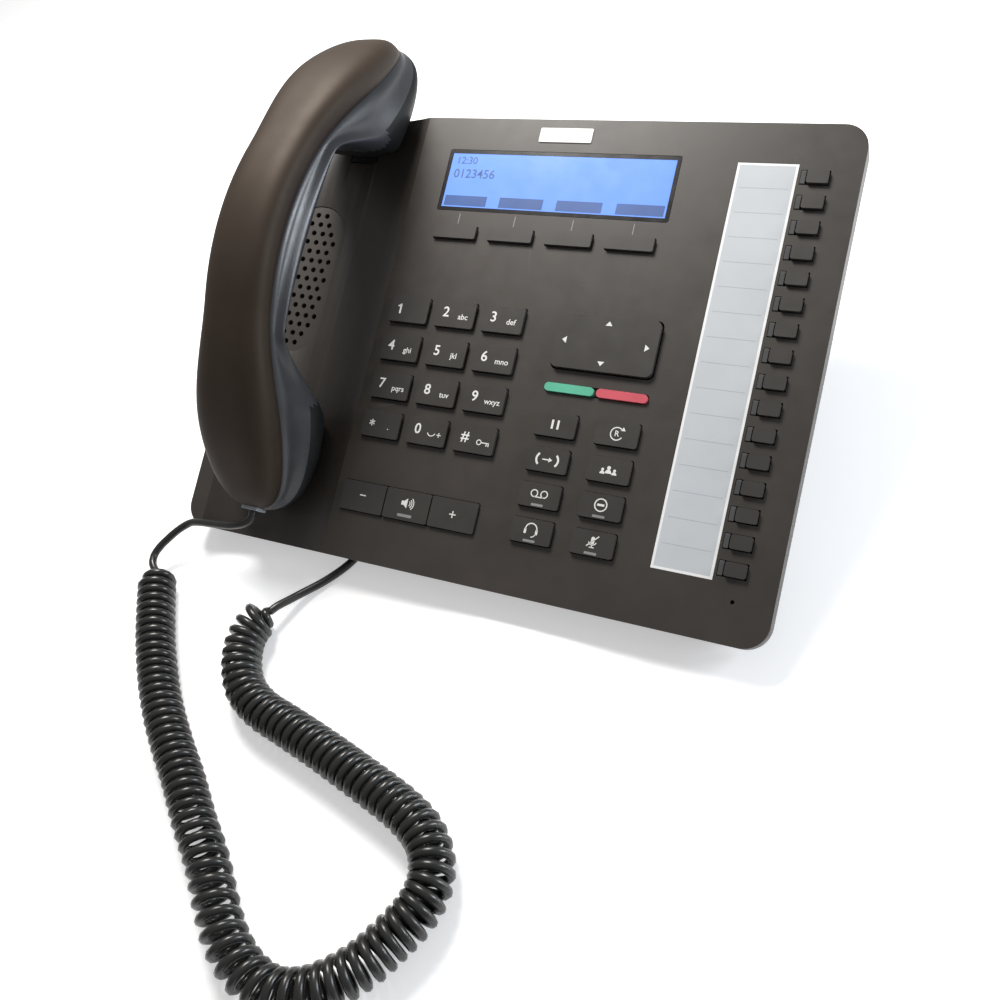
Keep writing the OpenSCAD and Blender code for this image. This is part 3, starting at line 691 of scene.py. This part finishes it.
def make_dial_print(m):
    z = DIAL_TOP + INK_LIFT
    for i, (key, letters) in enumerate(DIAL.items()):
        x = DIAL_X + (i % 3 - 1) * DIAL_PX
        y = DIAL_Y - i // 3 * DIAL_PY
        body = f"dial_key_{key}_body"
        if key == "1":
            one = [box_outline(0.75, 4), bar_outline(-1.2, 0.9, 0.1, 1.8, 0.6)]
            ink_piece("digit_1", one, (x + DIGIT_X, y, z), body, m)
        else:
            at = (x + DIGIT_X, y + (STAR_Y if key == "star" else DIGIT_Y), z)
            words(f"digit_{key}", SIGNS.get(key, key), DIGIT_SIZE, at, body, m["ink"],
                  weight=DIGIT_WEIGHT)
        if letters:
            words(f"letters_{key}", letters, LETTERS_SIZE, (x + LETTERS_X, y + LETTERS_Y, z),
                  body, m["ink"])
    x, y = DIAL_X, DIAL_Y - 3 * DIAL_PY
    space_and_plus = [arc_outline(1.7, FINE, 200, 340, 2.2, 0.2),
                      bar_outline(4.6, -0.8, 6.4, -0.8, FINE),
                      bar_outline(5.5, -1.7, 5.5, 0.1, FINE)]
    ink_piece("mark_0", space_and_plus, (x, y, z), "dial_key_0_body", m)
    little_key = ring_outlines(0.9, FINE, 2.2, -0.9) + [
        bar_outline(3.1, -0.9, 6.4, -0.9, LINE), bar_outline(5.4, -0.9, 5.4, -2.1, LINE),
        bar_outline(6.2, -0.9, 6.2, -2.1, LINE)]
    ink_piece("mark_hash", little_key, (x + DIAL_PX, y, z), "dial_key_hash_body", m)


def person(x, y, s):
    """A head over round shoulders, s times the size of the drawing."""
    shoulders = [(x + 1.1 * s * math.cos(math.radians(a)), y + 1.3 * s * math.sin(math.radians(a)))
                 for a in range(0, 181, 15)]
    return [disc_outline(0.62 * s, x, y + 1.85 * s), shoulders]


def icon_outlines():
    """The picture on each function key, in mm about the key's middle, in the order of the keys:
    left and right in a row, from the top row down."""
    arrow_head = [(0.6, 0.9), (0.6, -0.9), (2.0, 0)]
    microphone = [round_outline(1.3, 2.6, 0.6, 0, 0.5), arc_outline(1.5, FINE, 200, 340, 0, 0.4),
                  bar_outline(0, -1.0, 0, -2.0, FINE), bar_outline(-0.9, -2.0, 0.9, -2.0, FINE)]
    return {
        "hold_key": [box_outline(0.8, 3.4, -1.1, 0), box_outline(0.8, 3.4, 1.1, 0)],
        "redial_key": [arc_outline(2.3, LINE, 40, 330), [(1.2, 1.2), (3.0, 1.3), (2.1, 2.6)]],
        "transfer_key": [arc_outline(2.6, 0.75, 130, 230, -1.6, 0),
                         arc_outline(2.6, 0.75, -50, 50, 1.6, 0),
                         bar_outline(-1.9, 0, 1.0, 0, BOLD), arrow_head],
        "conference_key": (person(-2.2, -1.6, 0.85) + person(2.2, -1.6, 0.85)
                           + person(0, -1.3, 1.1)),
        "voicemail_key": (ring_outlines(1.25, LINE, -1.9, 0) + ring_outlines(1.25, LINE, 1.9, 0)
                          + [bar_outline(-1.9, -1.25, 1.9, -1.25, LINE)]),
        "do_not_disturb_key": ring_outlines(2.2, BOLD) + [box_outline(2.6, 0.8)],
        "headset_key": [arc_outline(2.2, BOLD, -10, 190, 0, 0.1),
                        round_outline(0.9, 1.9, 0.35, -2.2, -0.7),
                        round_outline(0.9, 1.9, 0.35, 2.2, -0.7),
                        arc_outline(1.6, FINE, 270, 350, 0.4, -1.0)],
        "mute_key": microphone + [bar_outline(-2.0, -1.7, 2.0, 2.2, LINE)],
    }


def make_function_print(m):
    z = KEY_TOP + INK_LIFT
    for i, (key, outlines) in enumerate(icon_outlines().items()):
        x = FN_X[i % 2]
        y = FN_Y - i // 2 * FN_PY
        body = f"{key}_body"
        has_lamp = key in LAMPS_ON_KEYS
        ink_piece(f"icon_{key}", outlines, (x, y + (ICON_RISE if has_lamp else 0), z), body, m)
        if has_lamp:
            lamp_piece(f"lamp_{key}", round_outline(*LAMP_SIZE), x, y + LAMP_Y, KEY_TOP, body, m)
    words("letter_redial", "R", REDIAL_SIZE, (FN_X[1], FN_Y, z), "redial_key_body", m["ink"])


def make_volume_print(m):
    z = LOW_TOP + INK_LIFT
    minus = [box_outline(SIGN_W, BOLD)]
    plus = [box_outline(SIGN_W, BOLD), box_outline(BOLD, SIGN_W)]
    cone = [(-2.4, -0.8), (-1.3, -0.8), (0.1, -1.9), (0.1, 1.9), (-1.3, 0.8), (-2.4, 0.8)]
    waves = [arc_outline(r, FINE, -50, 50, 0.2, 0) for r in (1.1, 1.9, 2.7)]
    ink_piece("icon_volume_down", minus, (VOL_X - VOL_P, VOL_Y + MINUS_RISE, z),
              "volume_down_key_body", m)
    ink_piece("icon_volume_up", plus, (VOL_X + VOL_P, VOL_Y, z), "volume_up_key_body", m)
    ink_piece("icon_speaker", [cone] + waves, (VOL_X, VOL_Y + SPEAKER_RISE, z),
              "speaker_key_body", m)
    lamp_piece("lamp_speaker", round_outline(*SPEAKER_LAMP_SIZE), VOL_X, VOL_Y + SPEAKER_LAMP_Y,
               LOW_TOP, "speaker_key_body", m)


def make_nav_print(m):
    arrow = [(-1.3, -0.7), (1.3, -0.7), (0, 1.0)]
    outlines = []
    for turn in (0, 90, 180, 270):
        reach = ARROW_ACROSS if turn % 180 else ARROW_UP
        c, s = math.cos(math.radians(turn)), math.sin(math.radians(turn))
        outlines.append([(x * c - (y + reach) * s, x * s + (y + reach) * c) for x, y in arrow])
    ink_piece("nav_arrows", outlines, (*NAV, NAV_TOP + INK_LIFT), "nav_button", m)


# ---------------------------------------------------------------- display, labels, plate

# The display's middle and size, how much smaller its lit panel is and the panel's corners, and
# the heights of its layers over the face
LCD = (9.1, 64.7)
LCD_W = 95.1
LCD_H = 25.5
LCD_PLAY = 0.2
LCD_CORNER = 0.5
LCD_THICK = 0.05
LCD_Z = -0.14
BEZEL_Z = -0.09
LCD_INK_Z = -0.08
BEZEL_EDGE = 1.5

# The picture on the display, from its middle: where text starts, each text with its size and
# its height, and the blocks over the soft keys
TEXT_X = -44
TEXTS = {"lcd_clock": ("12:30", 4.2, 8.2), "lcd_number": ("0123456", 5.2, 2.6)}
BLOCK = (18.4, 4.2)
BLOCK_X = 0.7
BLOCK_Y = -8.6

# The ticks between the display and the soft keys
SOFT_X = (-27.55, -3.55, 20.45, 44.45)
TICK = (0.35, 4.2)
TICK_Y = 48.6
TICK_Z = 0.01

# The label card: middle and size of its window, how much smaller the edge, the card and the
# lines between its rows are, the heights of these layers, and the line keys beside it
LABEL = (87.9, 2.4)
LABEL_W = 21.6
LABEL_H = 147
LABEL_EDGE = 0.9
EDGE_PLAY = 0.3
CARD_PLAY = 1.6
ROWS_PLAY = 4.5
ROW_LINE = 0.22
ROWS_THICK = 0.02
LABEL_EDGE_Z = -0.04
LABEL_FACE_Z = -0.05
LABEL_ROWS_Z = -0.02
LINE_KEYS = 16
LINE_Y = 71.1
LINE_P = 9.17

# The bare name plate: middle, then width, height and corner radius
PLATE = (9.4, 84.4)
PLATE_SIZE = (21.6, 5.8, 0.5)
PLATE_THICK = 0.35

# Thickness of the blocks, the ticks and the card
SHEET_THICK = 0.03


def console_piece(name, outlines, at, material, thick):
    """A flat piece that rides on the console."""
    flat_piece(name, outlines, at, "console", material, thick)


def make_display(m):
    x, y = LCD
    panel = round_outline(LCD_W - LCD_PLAY, LCD_H - LCD_PLAY, LCD_CORNER)
    console_piece("lcd_panel", [panel], (x, y, LCD_Z), m["lcd"], LCD_THICK)
    console_piece("lcd_bezel", frame_outlines(LCD_W, LCD_H, BEZEL_EDGE), (x, y, BEZEL_Z),
                  m["bezel"], PRINT_THICK)
    for i, soft in enumerate(SOFT_X):
        console_piece(f"lcd_block_{i + 1}", [box_outline(*BLOCK)],
                      (soft + BLOCK_X, y + BLOCK_Y, LCD_INK_Z), m["lcd_ink"],
                      SHEET_THICK)
    for name, (text, size, row) in TEXTS.items():
        words(name, text, size, (x + TEXT_X, y + row, LCD_INK_Z), "console", m["lcd_ink"],
              "LEFT")
    for i, soft in enumerate(SOFT_X):
        console_piece(f"soft_tick_{i + 1}", [box_outline(*TICK)], (soft, TICK_Y, TICK_Z),
                      m["lamp"], SHEET_THICK)


def make_labels(m):
    x, y = LABEL
    edge = frame_outlines(LABEL_W - EDGE_PLAY, LABEL_H - EDGE_PLAY, LABEL_EDGE)
    card = box_outline(LABEL_W - CARD_PLAY, LABEL_H - CARD_PLAY)
    rows = [box_outline(LABEL_W - ROWS_PLAY, ROW_LINE, 0, LINE_Y - y - (i + 0.5) * LINE_P)
            for i in range(LINE_KEYS - 1)]
    console_piece("label_edge", edge, (x, y, LABEL_EDGE_Z), m["card_edge"],
                  PRINT_THICK)
    console_piece("label_face", [card], (x, y, LABEL_FACE_Z), m["card"],
                  SHEET_THICK)
    console_piece("label_rows", rows, (x, y, LABEL_ROWS_Z), m["card_line"],
                  ROWS_THICK)
    console_piece("name_plate", [round_outline(*PLATE_SIZE)], (*PLATE, 0.0),
                  m["plate"], PLATE_THICK)


# ---------------------------------------------------------------- CAD nodes

# How near points are joined before a bevel, in metres, and the angle from which an edge is
# softened, in degrees
WELD_GAP = 0.00001
BEVEL_FROM = 40


def dress(names, material, bevel=0.0, segments=2):
    """Gives CAD nodes their finish, and softens their edges by bevel mm."""
    for name in names:
        obj = NODES[name]
        obj.data.materials.clear()
        obj.data.materials.append(material)
        if bevel:
            weld = obj.modifiers.new("weld", "WELD")
            weld.merge_threshold = WELD_GAP
            soft = obj.modifiers.new("bevel", "BEVEL")
            soft.width = bevel * MM
            soft.segments = segments
            soft.limit_method = "ANGLE"
            soft.angle_limit = math.radians(BEVEL_FROM)
            soft.harden_normals = True


def make_cad_finish(m):
    dial = [f"dial_key_{key}" for key in DIAL]
    soft = [f"soft_key_{i + 1}" for i in range(len(SOFT_X))]
    volume = ["volume_down_key", "speaker_key", "volume_up_key"]
    dress(dial, m["key"], 0.55, 3)
    dress(soft + list(icon_outlines()), m["key"], 0.5, 3)
    dress(volume, m["key"], 0.35)
    dress(["line_keys_a", "line_keys_b", "line_keys_c"], m["key"], 0.45, 3)
    dress(["nav_pad"], m["key"], 0.8, 4)
    dress(["answer_key"], m["green"], 0.35)
    dress(["hang_up_key"], m["red"], 0.35)
    dress(["front_cover"], m["cover"], 0.35, 3)
    dress(["speaker_grille"], m["cover"])
    dress(["rear_cover"], m["rear"], 0.3)
    dress(["desk_stand"], m["rear"], 0.4)
    dress(["hook_switch"], m["socket"], 0.3)
    dress(["main_board"], m["board"])
    dress(["keypad_mat"], m["mat"])
    dress(["loudspeaker", "handset_receiver", "handset_microphone"], m["speaker"])
    # The lit panel of the display is a piece of its own, which lies over the window.
    dress(["display_module", "display_window"], m["bezel"])
    dress(["label_card"], m["card"])
    dress(["label_cover"], m["card_edge"])
    dress(["line_lamps"], m["lamp_dark"], 0.15)
    dress(["rear_sockets", "cord_sockets"], m["socket"], 0.2)
    dress(["case_screws", "nav_pivot"], m["steel"])
    dress(["rubber_feet"], m["foot"], 0.4)
    dress(["base_plug", "handset_plug"], m["plug"], 0.3)
    dress(["cord_coil", "base_lead", "handset_lead"], m["cord"])
    dress(["handset_outer_shell"], m["shell"])
    dress(["handset_inner_shell"], m["band"])


# ---------------------------------------------------------------- stage and light

FLOOR_REACH = 3.0
WORLD_LIGHT = 0.28


def area_light(name, at, towards, size, power, tint):
    lamp = bpy.data.objects.new(name, bpy.data.lights.new(name, "AREA"))
    lamp.data.size = size
    lamp.data.energy = power
    lamp.data.color = tint
    lamp.location = at
    lamp.rotation_euler = (Vector(towards) - Vector(at)).to_track_quat("-Z", "Y").to_euler()
    bpy.context.scene.collection.objects.link(lamp)


def make_floor(material):
    mesh = bpy.data.meshes.new("floor")
    corners = [(x * FLOOR_REACH, y * FLOOR_REACH, 0)
               for x, y in ((-1, -1), (1, -1), (1, 1), (-1, 1))]
    mesh.from_pydata(corners, [], [(0, 1, 2, 3)])
    mesh.materials.append(material)
    floor = bpy.data.objects.new("floor", mesh)
    bpy.context.scene.collection.objects.link(floor)


def make_stage(m):
    make_floor(m["floor"])
    world = bpy.data.worlds.new("studio")
    world.use_nodes = True
    background = world.node_tree.nodes["Background"]
    background.inputs["Color"].default_value = (1, 1, 1, 1)
    background.inputs["Strength"].default_value = WORLD_LIGHT
    bpy.context.scene.world = world
    area_light("key_light", at=(-0.2, 0.25, 0.52), towards=(0, 0.03, 0.07), size=0.22, power=5,
               tint=(1, 0.97, 0.93))
    area_light("side_light", at=(0.6, 0.2, 0.22), towards=(-0.08, 0, 0.08), size=0.25, power=3.6,
               tint=(0.86, 0.93, 1))
    bpy.context.scene.view_settings.view_transform = "Standard"


make_camera()
materials = make_materials()
make_curly_cord(materials["cord"])
make_handset_cord(materials["cord"])
make_handset(materials)
make_dial_print(materials)
make_function_print(materials)
make_volume_print(materials)
make_nav_print(materials)
make_display(materials)
make_labels(materials)
make_cad_finish(materials)
make_stage(materials)
